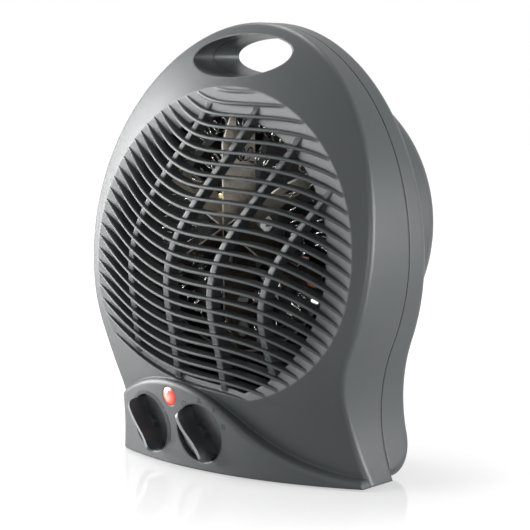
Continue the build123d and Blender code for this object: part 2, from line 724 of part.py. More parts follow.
def least_gap(radius, curls):
    """Least clear distance between neighbouring curls of a coil, measured on points."""
    per_curl = 24
    steps = per_curl * curls
    points = [coil_point(radius, curls, step / steps)[0] for step in range(steps + 1)]
    apart = range(per_curl * 3 // 4, per_curl * 3 // 2)
    gaps = [(points[i] - points[i + k]).length for k in apart for i in range(len(points) - k)]
    return min(gaps) - 2 * WIRE_RADIUS


def heating_coil(radius, curls):
    """Resistance wire curled into a coil that runs round the fan axis through the mica boards."""
    stops = [coil_point(radius, curls, step / (2 * curls)) for step in range(2 * curls + 1)]
    arcs = [arc for first, second in zip(stops, stops[1:]) for arc in biarc(first, second)]
    point, along = stops[0]
    print("least gap between curls", round(least_gap(radius, curls), 2))
    return sweep(Plane(origin=point, z_dir=along) * Circle(WIRE_RADIUS), path=Wire(arcs))


def thermal_cutout():
    """Bimetal cut-out, a disc on one side of the upright board."""
    spot = Pos(BOARD_THICKNESS / 2, BOARD_FRONT_Y + CUTOUT_RADIUS + BOARD_THICKNESS, FAN_Z - CUTOUT_DROP)
    case = Cylinder(CUTOUT_RADIUS, CUTOUT_THICKNESS, align=(Align.CENTER, Align.CENTER, Align.MIN))
    case = fillet(case.edges().sort_by(Axis.Z)[-1], CUTOUT_THICKNESS / 4)
    return spot * Rot(0, 90, 0) * case


def thermal_fuse():
    """Thermal fuse, a small cartridge on the other side of the upright board."""
    x = -BOARD_THICKNESS / 2 - FUSE_RADIUS - BOARD_CLEARANCE
    y = BOARD_FRONT_Y + FUSE_LENGTH / 2 + BOARD_THICKNESS
    case = Cylinder(FUSE_RADIUS, FUSE_LENGTH)
    case = fillet(case.edges().filter_by(GeomType.CIRCLE), FUSE_RADIUS / 3)
    return Pos(x, y, FAN_Z + FUSE_RISE) * Rot(90, 0, 0) * case


def motor_bracket():
    """Sheet bracket with four arms, a round plate and a seat for the front bearing."""
    rear = BRACKET_Y + BRACKET_THICKNESS
    middle = (BRACKET_Y + rear) / 2
    bracket = on_axis(BRACKET_PLATE_RADIUS, BRACKET_Y, rear)
    reach = BRACKET_POST_R + POST_RADIUS
    for index in range(4):
        arm = Pos(reach / 2, 0, 0) * Box(reach, BRACKET_ARM, BRACKET_THICKNESS)
        bracket += Pos(0, middle, FAN_Z) * Rot(90, 0, 0) * Rot(0, 0, 45 + 90 * index) * arm
    bracket = bracket & on_axis(BRACKET_POST_R + SCREW_HEAD_RADIUS, BRACKET_Y, rear)
    for x, z in bracket_spots():
        bracket -= rod(x, z, SCREW_RADIUS + SCREW_CLEARANCE, BRACKET_Y - OVER, rear + OVER)
    for x, z in motor_bolt_spots():
        bracket += rod(x, z, 2 * SCREW_RADIUS, rear, STATOR_Y)
        bracket -= rod(x, z, SCREW_RADIUS + SCREW_CLEARANCE, BRACKET_Y - OVER, STATOR_Y + OVER)
    half = STATOR_WINDOW_HALF + WINDING_NOTCH_GAP
    notch_top = STATOR_LEG - STATOR_DROP + STATOR_WINDOW_HEIGHT + WINDING_NOTCH_GAP
    bracket -= slab(half, -STATOR_DROP - FAR, notch_top, BRACKET_Y - OVER, rear + OVER)
    return bracket - on_axis(BEARING_RADIUS + BEARING_CLEARANCE, BRACKET_Y - OVER, rear + OVER)


def motor_bolt_spots():
    """Places of the two bolts through the motor."""
    return pair((MOTOR_BOLT_X, FAN_Z))


def slab(half_width, low, high, start, end):
    """Box centred on X = 0, with heights measured from the fan axis."""
    centre = Pos(0, (start + end) / 2, FAN_Z + (low + high) / 2)
    return centre * Box(2 * half_width, end - start, high - low)


def stator():
    """Laminated core with a bore for the rotor and a leg for the winding."""
    rear = STATOR_Y + STATOR_THICKNESS
    core = slab(STATOR_HALF_WIDTH, -STATOR_DROP, STATOR_RISE, STATOR_Y, rear)
    core -= on_axis(ROTOR_RADIUS + ROTOR_AIR_GAP, STATOR_Y - OVER, rear + OVER)
    leg_top = STATOR_LEG - STATOR_DROP
    window = leg_top + STATOR_WINDOW_HEIGHT
    core -= slab(STATOR_WINDOW_HALF, leg_top, window, STATOR_Y - OVER, rear + OVER)
    for x, z in motor_bolt_spots():
        core -= rod(x, z, SCREW_RADIUS + SCREW_CLEARANCE, STATOR_Y - OVER, rear + OVER)
    return core


def motor_winding():
    """Copper winding round the lower leg of the core."""
    rear = STATOR_Y + STATOR_THICKNESS
    gap = WINDING_CLEARANCE
    around = gap + WINDING_WRAP
    half = STATOR_WINDOW_HALF - gap
    leg_top = STATOR_LEG - STATOR_DROP
    bundle = slab(half, -STATOR_DROP - around, leg_top + around, STATOR_Y - around, rear + around)
    bundle = fillet(bundle.edges().filter_by(Axis.X), WINDING_WRAP / 2)
    return bundle - slab(half + OVER, -STATOR_DROP - gap, leg_top + gap, STATOR_Y - gap, rear + gap)


def rotor():
    """Squirrel-cage rotor pressed on the shaft."""
    middle = STATOR_Y + STATOR_THICKNESS / 2
    half = ROTOR_LENGTH / 2
    return tube(ROTOR_RADIUS, SHAFT_RADIUS + SHAFT_CLEARANCE, middle - half, middle + half)


def motor_shaft():
    """Steel shaft from the fan hub to the rear bearing."""
    return on_axis(SHAFT_RADIUS, SHAFT_FRONT_Y, SHAFT_REAR_Y)


def bearing(middle):
    """Sintered bush for the shaft."""
    half = BEARING_LENGTH / 2
    return tube(BEARING_RADIUS, SHAFT_RADIUS + SHAFT_CLEARANCE, middle - half, middle + half)


def front_bearing_y():
    """Middle of the front bearing, in the motor bracket."""
    return BRACKET_Y + BRACKET_THICKNESS / 2


def bridge_y():
    """Front face of the bridge that holds the rear bearing."""
    return STATOR_Y + STATOR_THICKNESS + BRIDGE_LEG


def bearing_bridge():
    """Bridge across the back of the stator, with a seat for the rear bearing."""
    rear = bridge_y() + BRIDGE_THICKNESS
    half_height = BRIDGE_HEIGHT / 2
    bridge = slab(MOTOR_BOLT_X + half_height, -half_height, half_height, bridge_y(), rear)
    for x, z in motor_bolt_spots():
        bridge += rod(x, z, 2 * SCREW_RADIUS, STATOR_Y + STATOR_THICKNESS, bridge_y())
        bridge -= rod(x, z, SCREW_RADIUS + SCREW_CLEARANCE, STATOR_Y, rear + OVER)
    return bridge - on_axis(BEARING_RADIUS + BEARING_CLEARANCE, bridge_y() - OVER, rear + OVER)


def screw(x, z, seat, end):
    """Pan-head screw along Y from its head's seat to its tip."""
    towards = 1 if end > seat else -1
    head = seat - towards * SCREW_HEAD_HEIGHT
    shank = rod(x, z, SCREW_RADIUS, min(seat, end), max(seat, end))
    cap = rod(x, z, SCREW_HEAD_RADIUS, min(seat, head), max(seat, head))
    slot = Pos(x, head, z) * Box(SCREW_RADIUS / 2, SCREW_HEAD_HEIGHT, 2 * SCREW_RADIUS)
    cross = Pos(x, head, z) * Box(2 * SCREW_RADIUS, SCREW_HEAD_HEIGHT, SCREW_RADIUS / 2)
    return shank + cap - slot - cross


def motor_bolts():
    """Two bolts from the bridge through the stator into the bracket."""
    seat = bridge_y() + BRIDGE_THICKNESS
    return Compound(children=[screw(x, z, seat, BRACKET_Y) for x, z in motor_bolt_spots()])


def bracket_screws():
    """Screws of the motor bracket."""
    tip = BRACKET_Y + BRACKET_THICKNESS + SHORT_SCREW_LENGTH - SCREW_HEAD_HEIGHT
    return Compound(children=[screw(x, z, BRACKET_Y, tip) for x, z in bracket_spots()])


def duct_screws():
    """Screws of the air duct."""
    seat = DUCT_EAR_Y - DUCT_EAR_THICKNESS
    tip = DUCT_EAR_Y + SHORT_SCREW_LENGTH - SCREW_HEAD_HEIGHT
    return Compound(children=[screw(x, z, seat, tip) for x, z in duct_spots()])


def housing_screws():
    """Long screws that hold the two shells together from the back."""
    tip = SCREW_HEAD_HEIGHT - HOUSING_SCREW_LENGTH
    return Compound(children=[screw(x, z, BOSS_WELL_Y, tip) for x, z in boss_spots()])


def fan_impeller():
    """Axial fan: a hub with pitched blades."""
    rear = FAN_FRONT_Y + FAN_DEPTH
    middle = (FAN_FRONT_Y + rear) / 2
    sweep_ring = tube(FAN_RADIUS, FAN_HUB_RADIUS - BLADE_THICKNESS, FAN_FRONT_Y, rear)
    fan = on_axis(FAN_HUB_RADIUS, FAN_FRONT_Y, rear)
    flat = Box(FAN_RADIUS, BLADE_THICKNESS, BLADE_CHORD)
    blade = Pos(FAN_RADIUS / 2, 0, 0) * Rot(BLADE_PITCH, 0, 0) * flat
    for index in range(BLADE_COUNT):
        turned = Pos(0, middle, FAN_Z) * Rot(0, 360 * index / BLADE_COUNT, 0) * blade
        fan += turned & sweep_ring
    return fan - on_axis(SHAFT_RADIUS + SHAFT_CLEARANCE, FAN_FRONT_Y - OVER, rear + OVER)


def fan_clip():
    """Push-on clip that keeps the fan on its shaft."""
    return tube(CLIP_RADIUS, SHAFT_RADIUS + SHAFT_CLEARANCE, FAN_FRONT_Y - CLIP_THICKNESS, FAN_FRONT_Y)


def knob_base():
    """Height of a knob's underside above the panel's face."""
    return KNOB_GAP - RECESS_DEPTH


def ribbon(first, second):
    """Face between two curves that run side by side."""
    ends = [Line(first[0], second[0]), Line(first[-1], second[-1])]
    return Face(Wire([Spline(first), Spline(second)] + ends))


def grip_face(width):
    """S-curved outline of the grip at one height."""
    ends = 6
    half = width / 2
    along = [KNOB_RADIUS * step / ends for step in range(-ends, ends + 1)]
    bend = [-GRIP_WAVE * sin(pi * y / KNOB_RADIUS) for y in along]
    return ribbon([(x - half, y) for x, y in zip(bend, along)], [(x + half, y) for x, y in zip(bend, along)])


def knob(spot):
    """Control knob: a disc in its recess with a tapered S-curved grip across it, on its spindle."""
    disc = Cylinder(KNOB_RADIUS, KNOB_DISC, align=(Align.CENTER, Align.CENTER, Align.MIN))
    disc = fillet(disc.edges().sort_by(Axis.Z)[-1], KNOB_EDGE_RADIUS)
    root = Pos(0, 0, KNOB_DISC / 2) * grip_face(GRIP_ROOT_WIDTH)
    ridge = Pos(0, 0, KNOB_DISC + GRIP_HEIGHT) * grip_face(GRIP_TOP_WIDTH)
    grip = loft([root, ridge]) & Cylinder(KNOB_RADIUS, FAR)
    ridge_top = grip.faces().sort_by(Axis.Z)[-1]
    grip = fillet(ridge_top.edges().sort_by(SortBy.LENGTH)[:2], GRIP_END_RADIUS)
    hub_top = KNOB_DISC + KNOB_HUB_HEIGHT
    body = disc + grip + Cylinder(KNOB_HUB_RADIUS, hub_top, align=(Align.CENTER, Align.CENTER, Align.MIN))
    nut_pocket = NUT_ACROSS / sqrt(3) + NUT_POCKET_GAP
    body -= Cylinder(nut_pocket, 2 * (BUSH_RISE + NUT_POCKET_GAP - KNOB_GAP))
    body -= Cylinder(SPINDLE_RADIUS + SPINDLE_CLEARANCE, 2 * spindle_grip())
    return panel_plane(spot) * Pos(0, 0, knob_base()) * Rot(0, 0, KNOB_REST_ANGLE) * body


def spindle_grip():
    """Depth of the spindle's bore in a knob."""
    return KNOB_DISC + KNOB_HUB_HEIGHT / 2


def spindle(spot):
    """Spindle of a control, from its body to its knob."""
    end = knob_base() + spindle_grip() - SPINDLE_END_GAP
    return post(panel_plane(spot), SPINDLE_RADIUS, control_seat() - SPINDLE_DEPTH, end)


def control_seat():
    """Height of a control body's front above the panel's face, against the recess floor."""
    return -RECESS_DEPTH - RECESS_FLOOR


def control_bush(spot):
    """Threaded bush of a control, through the recess floor."""
    return post(panel_plane(spot), BUSH_RADIUS, control_seat(), BUSH_RISE - RECESS_DEPTH)


def control_bore(spot):
    """Bore of a control for its spindle."""
    return post(panel_plane(spot), SPINDLE_RADIUS + SPINDLE_CLEARANCE, control_seat() - SPINDLE_DEPTH, OVER)


def control_tabs(spot, count):
    """Push-on terminals on the back of a control."""
    back = control_seat() - CONTROL_DEPTH
    places = [TAB_SPREAD * (index - (count - 1) / 2) for index in range(count)]
    tab = Box(TAB_THICKNESS, TAB_WIDTH, TAB_LENGTH, align=(Align.CENTER, Align.CENTER, Align.MAX))
    return [panel_plane(spot) * Pos(place, 0, back) * tab for place in places]


def thermostat_body():
    """Thermostat: a square base with a bush and two terminals."""
    plane = panel_plane(THERMOSTAT_SPOT)
    base = Box(CONTROL_SIDE, CONTROL_SIDE, CONTROL_DEPTH, align=(Align.CENTER, Align.CENTER, Align.MAX))
    base = fillet(base.edges().filter_by(Axis.Z), CONTROL_SIDE / 10)
    body = plane * Pos(0, 0, control_seat()) * base + control_bush(THERMOSTAT_SPOT)
    return body + control_tabs(THERMOSTAT_SPOT, 2) - control_bore(THERMOSTAT_SPOT)


def switch_body():
    """Rotary switch: a round base with a bush and three terminals."""
    body = post(panel_plane(FUNCTION_SPOT), CONTROL_SIDE / 2, control_seat() - CONTROL_DEPTH, control_seat())
    body += control_bush(FUNCTION_SPOT)
    return body + control_tabs(FUNCTION_SPOT, 3) - control_bore(FUNCTION_SPOT)


def control_nuts():
    """Nuts that clamp the two controls to their recess floors."""
    hexagon = RegularPolygon(NUT_ACROSS / 2, 6, major_radius=False) - Circle(BUSH_RADIUS + BUSH_CLEARANCE)
    nut = extrude(hexagon, amount=NUT_HEIGHT, dir=(0, 0, 1))
    spots = (THERMOSTAT_SPOT, FUNCTION_SPOT)
    return Compound(children=[panel_plane(spot) * Pos(0, 0, -RECESS_DEPTH) * nut for spot in spots])


def lamp_lens():
    """Red pilot lens: a domed plug with a flange behind the panel and a skirt for the lamp."""
    plane = panel_plane(LAMP_SPOT)
    seat = -WALL - LENS_SEAT_GAP
    cap_radius = (LENS_RADIUS**2 + LENS_RISE**2) / (2 * LENS_RISE)
    cap = plane * Pos(0, 0, LENS_RISE - cap_radius) * Sphere(cap_radius)
    lens = post(plane, LENS_RADIUS, seat - LENS_FLANGE, LENS_RISE) & cap
    lens += post(plane, LENS_RADIUS, seat - LENS_FLANGE, 0)
    lens += post(plane, LENS_RADIUS + LENS_FLANGE, seat - LENS_FLANGE, seat)
    lens += post(plane, LENS_RADIUS - LENS_FLANGE, seat - LENS_SKIRT, seat)
    return lens - post(plane, NEON_RADIUS + LAMP_CLEARANCE, seat - LENS_SKIRT - OVER, seat)


def neon_lamp():
    """Neon lamp in the lens skirt."""
    seat = -WALL - LENS_SEAT_GAP
    glass = Cylinder(NEON_RADIUS, NEON_LENGTH, align=(Align.CENTER, Align.CENTER, Align.MAX))
    glass = fillet(glass.edges().sort_by(Axis.Z)[-1], NEON_RADIUS * 0.9)
    return panel_plane(LAMP_SPOT) * Pos(0, 0, seat - LAMP_CLEARANCE) * glass


def rubber_feet():
    """Four feet under the housing."""
    tall = BASE_Z + FEET_SINK
    places = pair(FRONT_FEET) + pair(REAR_FEET)
    return Compound(children=[Pos(x, y, tall / 2) * Cylinder(FEET_RADIUS, tall) for x, y in places])


def cord_gland():
    """Bush for the mains cord at the back of the foot."""
    gland = rod(0, GLAND_Z, GLAND_FLANGE_RADIUS, GLAND_SEAT_Y, GLAND_SEAT_Y + GLAND_FLANGE)
    gland += rod(0, GLAND_Z, GLAND_TUBE_RADIUS, GLAND_SEAT_Y - GLAND_TUBE, GLAND_SEAT_Y)
    return gland - rod(0, GLAND_Z, GLAND_BORE_RADIUS, GLAND_SEAT_Y - FAR, GLAND_SEAT_Y + FAR)


def block_screw_spots():
    """X of the terminal block's screws."""
    pitch = BLOCK_SIZE[0] / BLOCK_SCREWS
    return [BLOCK_SPOT[0] + pitch * (index - (BLOCK_SCREWS - 1) / 2) for index in range(BLOCK_SCREWS)]


def terminal_block():
    """Terminal block on the floor of the rear shell."""
    floor = BASE_Z + WALL
    case = Box(*BLOCK_SIZE, align=(Align.CENTER, Align.CENTER, Align.MIN))
    block = Pos(BLOCK_SPOT[0], BLOCK_SPOT[1], floor) * case
    top = floor + BLOCK_SIZE[2]
    wire_hole = Pos(0, 0, -BLOCK_SIZE[2] * 3 / 4) * Rot(90, 0, 0) * Cylinder(SCREW_RADIUS, FAR)
    for x in block_screw_spots():
        place = Pos(x, BLOCK_SPOT[1], top)
        block -= place * Cylinder(BLOCK_SCREW_RADIUS + SCREW_CLEARANCE, BLOCK_SIZE[2])
        block -= place * wire_hole
    return block


def terminal_screws():
    """Brass clamp screws of the terminal block."""
    seat = BASE_Z + WALL + BLOCK_SIZE[2] / 2
    tall = BLOCK_SIZE[2] / 3
    head = Cylinder(BLOCK_SCREW_RADIUS, tall, align=(Align.CENTER, Align.CENTER, Align.MIN))
    head -= Pos(0, 0, tall) * Box(3 * BLOCK_SCREW_RADIUS, BLOCK_SCREW_RADIUS / 3, BLOCK_SCREW_RADIUS)
    return Compound(children=[Pos(x, BLOCK_SPOT[1], seat) * head for x in block_screw_spots()])


NODES = {
    "front_housing": front_housing,
    "rear_housing": rear_housing,
    "intake_grille": intake_grille,
    "air_duct": air_duct,
    "mica_board_left": lambda: mica_board(0),
    "mica_board_upright": lambda: mica_board(1),
    "mica_board_right": lambda: mica_board(2),
    "outer_heating_coil": lambda: heating_coil(OUTER_COIL_R, OUTER_COIL_CURLS),
    "inner_heating_coil": lambda: heating_coil(INNER_COIL_R, INNER_COIL_CURLS),
    "thermal_cutout": thermal_cutout,
    "thermal_fuse": thermal_fuse,
    "motor_bracket": motor_bracket,
    "motor_stator": stator,
    "motor_winding": motor_winding,
    "motor_rotor": rotor,
    "motor_shaft": motor_shaft,
    "front_bearing": lambda: bearing(front_bearing_y()),
    "rear_bearing": lambda: bearing(bridge_y() + BRIDGE_THICKNESS / 2),
    "bearing_bridge": bearing_bridge,
    "motor_bolts": motor_bolts,
    "bracket_screws": bracket_screws,
    "duct_screws": duct_screws,
    "housing_screws": housing_screws,
    "fan_impeller": fan_impeller,
    "fan_clip": fan_clip,
    "thermostat_knob": lambda: knob(THERMOSTAT_SPOT),
    "thermostat_spindle": lambda: spindle(THERMOSTAT_SPOT),
    "thermostat_body": thermostat_body,
    "function_knob": lambda: knob(FUNCTION_SPOT),
    "function_spindle": lambda: spindle(FUNCTION_SPOT),
    "function_switch": switch_body,
    "control_nuts": control_nuts,
    "lamp_lens": lamp_lens,
    "neon_lamp": neon_lamp,
    "rubber_feet": rubber_feet,
    "cord_gland": cord_gland,
    "terminal_block": terminal_block,
    "terminal_screws": terminal_screws,
}


if __name__ == "__main__":
    os.makedirs("parts", exist_ok=True)
    for name, make in NODES.items():
        export_step(make(), f"parts/{name}.step")
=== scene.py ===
# %% [markdown]
# # A moulded fan heater, dressed for its portrait
#
# The solids of the heater come from the CAD frame and stay as they are. This lesson adds what CAD
# leaves out: the finishes, the wound heating wire, the printed marks beside the knobs, the light and
# the camera. Everything is in metres, in the same frame as the solids: Z is up, the warm air leaves
# towards -Y.

# %% Load the frame
from math import cos, pi, radians, sin, sqrt

import bpy
from mathutils import Matrix, Vector


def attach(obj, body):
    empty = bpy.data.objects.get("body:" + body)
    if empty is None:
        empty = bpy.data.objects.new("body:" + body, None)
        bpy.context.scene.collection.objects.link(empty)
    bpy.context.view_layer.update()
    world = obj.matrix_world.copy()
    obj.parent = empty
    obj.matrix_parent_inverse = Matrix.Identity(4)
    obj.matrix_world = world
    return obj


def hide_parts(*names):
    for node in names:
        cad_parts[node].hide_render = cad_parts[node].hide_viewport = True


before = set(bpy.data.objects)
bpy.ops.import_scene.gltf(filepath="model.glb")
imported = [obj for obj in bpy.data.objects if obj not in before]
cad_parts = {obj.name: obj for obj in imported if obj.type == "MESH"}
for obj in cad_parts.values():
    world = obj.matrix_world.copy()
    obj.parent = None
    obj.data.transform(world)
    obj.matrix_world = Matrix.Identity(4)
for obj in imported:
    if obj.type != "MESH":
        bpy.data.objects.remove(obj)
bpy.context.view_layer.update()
print("nodes", len(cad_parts))

# %% [markdown]
# ## Camera
#
# The photograph was taken from the right of the front, about as high as the handle, with a long lens.
# The numbers below were found by fitting the outline of the solids to the outline in the photograph.

# %% Camera
CAMERA_TURN = radians(40.6)
CAMERA_YAW = radians(-0.10)
CAMERA_DISTANCE = 0.98046
CAMERA_HEIGHT = 0.22504
CAMERA_PITCH = radians(6.32)
CAMERA_ROLL = radians(-0.43)
FOCAL_PIXELS = 1673.57
IMAGE_PIXELS = 530
SENSOR_MM = 36.0

heading = CAMERA_TURN + CAMERA_YAW
ahead = Vector((-sin(heading) * cos(CAMERA_PITCH), cos(heading) * cos(CAMERA_PITCH), -sin(CAMERA_PITCH)))
level = ahead.cross(Vector((0, 0, 1))).normalized()
upright = level.cross(ahead)
right = cos(CAMERA_ROLL) * level + sin(CAMERA_ROLL) * upright
above = cos(CAMERA_ROLL) * upright - sin(CAMERA_ROLL) * level
place = Vector((CAMERA_DISTANCE * sin(CAMERA_TURN), -CAMERA_DISTANCE * cos(CAMERA_TURN), CAMERA_HEIGHT))

bpy.ops.object.select_all(action="DESELECT")
bpy.ops.object.camera_add(location=place)
camera = bpy.context.object
camera.matrix_world = Matrix.Translation(place) @ Matrix((right, above, -ahead)).transposed().to_4x4()
camera.data.sensor_fit = "HORIZONTAL"
camera.data.sensor_width = SENSOR_MM
camera.data.lens = FOCAL_PIXELS / IMAGE_PIXELS * SENSOR_MM
bpy.context.scene.camera = camera
bpy.context.scene.view_settings.view_transform = "Standard"
print("lens", round(camera.data.lens, 1), "mm")

# %% [markdown]
# ## Shader maths as Python sums
#
# A finish is a small graph of nodes. Wiring it by hand hides the idea, so one class wraps a socket and
# lets ordinary sums add the Math nodes, and one method adds any other node with its settings and inputs.

# %% Sockets that add up
class Amount:
    """A number socket that takes part in Python sums."""

    def __init__(self, graph, socket):
        self.graph = graph
        self.socket = socket

    def sum(self, operation, *terms):
        return self.graph.amount("ShaderNodeMath", {"operation": operation}, dict(enumerate(terms)))

    def __add__(self, other):
        return self.sum("ADD", self, other)

    def __sub__(self, other):
        return self.sum("SUBTRACT", self, other)

    def __rsub__(self, other):
        return self.sum("SUBTRACT", other, self)

    def __mul__(self, other):
        return self.sum("MULTIPLY", self, other)

    __radd__ = __add__
    __rmul__ = __mul__

    def step(self, low, high):
        """Zero below low, one above high and a smooth climb between."""
        inputs = {"Value": self, "From Min": low, "From Max": high}
        settings = {"interpolation_type": "SMOOTHSTEP"}
        return self.graph.amount("ShaderNodeMapRange", settings, inputs, "Result")

    def sine(self):
        return self.sum("SINE", self)

    def top(self, other):
        return self.sum("MAXIMUM", self, other)


class Graph:
    """A tree of nodes and the method that adds any of them."""

    def __init__(self, tree):
        self.tree = tree

    def node(self, kind, settings, inputs):
        """Any node, with its settings first and then the values or links of its sockets."""
        node = self.tree.nodes.new(kind)
        for key, value in settings.items():
            setattr(node, key, value)
        self.feed(node, inputs)
        return node

    def feed(self, node, inputs):
        """Sets or links a node's sockets."""
        for key, value in inputs.items():
            socket = node.inputs[key]
            source = value.socket if isinstance(value, Amount) else value
            if isinstance(source, bpy.types.NodeSocket):
                self.tree.links.new(source, socket)
            else:
                socket.default_value = source

    def amount(self, kind, settings, inputs, output=0):
        return Amount(self, self.node(kind, settings, inputs).outputs[output])

    def seen_straight(self):
        """One for what the camera sees itself, in a mirror or through glass."""
        rays = self.node("ShaderNodeLightPath", {}, {})
        sight = Amount(self, rays.outputs["Is Camera Ray"])
        sight = sight.top(Amount(self, rays.outputs["Is Glossy Ray"]))
        return sight.top(Amount(self, rays.outputs["Is Transmission Ray"]))


BEVEL_SAMPLES = 6


class Finish(Graph):
    """One material on the object's own coordinates."""

    def __init__(self, name):
        self.material = bpy.data.materials.new(name)
        self.material.use_nodes = True
        super().__init__(self.material.node_tree)
        self.shader = self.tree.nodes["Principled BSDF"]
        self.output = self.tree.nodes["Material Output"]
        self.place = self.node("ShaderNodeTexCoord", {}, {}).outputs["Object"]

    def noise(self, scale, detail=2.0):
        """Soft noise, with its scale in cycles per metre."""
        inputs = {"Vector": self.place, "Scale": scale, "Detail": detail}
        return self.amount("ShaderNodeTexNoise", {}, inputs, 0)

    def axis(self, name):
        """One of the object's own coordinates, in metres."""
        return self.amount("ShaderNodeSeparateXYZ", {}, {"Vector": self.place}, name)

    def mix(self, share, first, second):
        """A colour between two others."""
        inputs = {"Factor": share, 6: first, 7: second}
        node = self.node("ShaderNodeMix", {"data_type": "RGBA"}, inputs)
        return node.outputs[2]

    def bump(self, height, depth, edge=0.0):
        """Relief of a given depth, over edges that are softened by a given radius, in metres."""
        inputs = {"Height": height, "Distance": depth}
        if edge:
            soft = self.node("ShaderNodeBevel", {"samples": BEVEL_SAMPLES}, {"Radius": edge})
            inputs["Normal"] = soft.outputs["Normal"]
        return self.node("ShaderNodeBump", {}, inputs).outputs["Normal"]

    def set(self, **inputs):
        """Feeds the shader's own sockets: underscores stand for spaces."""
        self.feed(self.shader, {key.replace("_", " "): value for key, value in inputs.items()})


def tone(red, green, blue):
    """A colour from its 0 to 255 screen values."""
    values = [level / 255 for level in (red, green, blue)]
    straight = [v / 12.92 if v <= 0.04045 else ((v + 0.055) / 1.055) ** 2.4 for v in values]
    return (*straight, 1.0)


def shade(colour, share):
    """The same colour, darker or lighter."""
    return (*(level * share for level in colour[:3]), 1.0)


# %% [markdown]
# ## Moulded plastics
#
# The shells are charcoal plastic with a fine spark-eroded texture: light breaks up on it, so the gloss is
# broad and soft. The texture is a noise of about half a millimetre, as relief and as a slight change of
# roughness. A moulding has no knife edges, so a Bevel node softens the look of every edge of the shells.
# The fan, the intake and the inks are the same plastic with other numbers.

# %% Plastics
DARK_SHARE = 0.9
LIGHT_SHARE = 1.08
BROAD_RATIO = 60
GLOSS_SWING = 0.18
PLASTIC_SPECULAR = 0.35
HOUSING_EDGE = 0.0017


def spark_textured(name, colour, rough, grain, depth, edge=0.0):
    """Moulded plastic with a fine, even relief."""
    finish = Finish(name)
    fine = finish.noise(grain)
    broad = finish.noise(grain / BROAD_RATIO)
    dark = shade(colour, DARK_SHARE)
    light = shade(colour, LIGHT_SHARE)
    finish.set(
        Base_Color=finish.mix(broad * 0.6 + fine * 0.4, dark, light),
        Roughness=rough + (fine - 0.5) * GLOSS_SWING,
        Normal=finish.bump(fine, depth, edge),
    )
    finish.set(Specular_IOR_Level=PLASTIC_SPECULAR)
    return finish.material


housing_plastic = spark_textured("charcoal_housing", tone(52, 55, 56), 0.4, 1900.0, 0.00005, HOUSING_EDGE)
intake_plastic = spark_textured("intake_moulding", tone(50, 52, 53), 0.42, 1500.0, 0.00003)
fan_plastic = spark_textured("fan_moulding", tone(38, 38, 40), 0.4, 900.0, 0.00003)
control_plastic = spark_textured("phenolic_moulding", tone(42, 38, 35), 0.5, 1200.0, 0.00004)
block_plastic = spark_textured("terminal_nylon", tone(214, 210, 198), 0.5, 800.0, 0.00004)
dark_print = spark_textured("dark_print", tone(28, 29, 31), 0.55, 2600.0, 0.00001)
middle_print = spark_textured("middle_print", tone(34, 35, 37), 0.55, 2600.0, 0.00001)
pale_print = spark_textured("pale_print", tone(40, 42, 43), 0.55, 2600.0, 0.00001)
foot_rubber = spark_textured("foot_rubber", tone(30, 30, 31), 0.75, 1100.0, 0.00008)
gland_rubber = spark_textured("gland_rubber", tone(34, 34, 35), 0.65, 1100.0, 0.00006)
print("plastics made")

# %% [markdown]
# ## Metals
#
# Inside are darkened sheet steel, drawn wire, brass and bronze. The sheet's dark tone also paints the shade
# inside the duct. Each is a metal shader whose roughness and tint wander, with long scratches where a sheet
# was rolled.

# %% Metals
METAL_DULL = 0.72
METAL_SWING = 0.25


def worked_metal(name, colour, rough, grain, stretch, depth):
    """Metal with marks drawn out along X by stretch."""
    finish = Finish(name)
    scaled = finish.node("ShaderNodeMapping", {}, {"Vector": finish.place, "Scale": stretch})
    inputs = {"Vector": scaled.outputs[0], "Scale": grain, "Detail": 3.0}
    marks = finish.amount("ShaderNodeTexNoise", {}, inputs, 0)
    broad = finish.noise(60.0)
    dull = shade(colour, METAL_DULL)
    finish.set(
        Base_Color=finish.mix(broad * 0.5 + marks * 0.5, dull, colour),
        Roughness=rough + (marks - 0.5) * METAL_SWING,
        Normal=finish.bump(marks, depth),
    )
    finish.set(Metallic=1.0)
    return finish.material


EVEN = (1.0, 1.0, 1.0)
ROLLED = (0.08, 1.0, 1.0)
# The sheet is dark steel, and its dark tone also paints the shade inside the duct.
sheet_steel = worked_metal("darkened_sheet_and_shade", tone(58, 58, 60), 0.42, 700.0, ROLLED, 0.00002)
wire_metal = worked_metal("resistance_wire", tone(235, 233, 230), 0.16, 900.0, EVEN, 0.00001)
screw_metal = worked_metal("zinc_screws", tone(176, 177, 178), 0.3, 1400.0, EVEN, 0.00002)
shaft_metal = worked_metal("ground_steel", tone(190, 190, 192), 0.2, 1600.0, ROLLED, 0.00001)
brass_metal = worked_metal("plated_brass", tone(204, 184, 128), 0.26, 1400.0, EVEN, 0.00002)
bronze_metal = worked_metal("sintered_bronze", tone(170, 132, 86), 0.5, 2600.0, EVEN, 0.00004)
iron_metal = worked_metal("rotor_iron", tone(140, 141, 144), 0.4, 900.0, EVEN, 0.00003)
print("metals made")

# %% [markdown]
# ## Stacked sheets and wound turns
#
# The motor's iron is a stack of thin sheets, and its copper lies in fine turns. Both show as close lines
# across one direction, so one finish with a sine wave across an axis serves for the two.

# %% Stacks and turns
GROOVE_DULL = 0.55


def layered(name, colour, rough, metallic, pitch, axis, depth):
    """A stack of sheets or turns, seen as fine lines across one axis."""
    finish = Finish(name)
    along = finish.axis(axis) * (2 * pi / pitch)
    ridges = along.sine() * 0.5 + 0.5
    flecks = finish.noise(500.0)
    dull = shade(colour, GROOVE_DULL)
    finish.set(
        Base_Color=finish.mix(ridges * 0.7 + flecks * 0.3, dull, colour),
        Roughness=rough + flecks * 0.15,
        Normal=finish.bump(ridges, depth),
    )
    finish.set(Metallic=metallic)
    return finish.material


lamination_metal = layered("stacked_laminations", tone(112, 114, 118), 0.4, 1.0, 0.0007, "Y", 0.00012)
copper_turns = layered("enamelled_copper", tone(178, 98, 58), 0.3, 1.0, 0.0006, "X", 0.0002)
print("stacks and turns made")
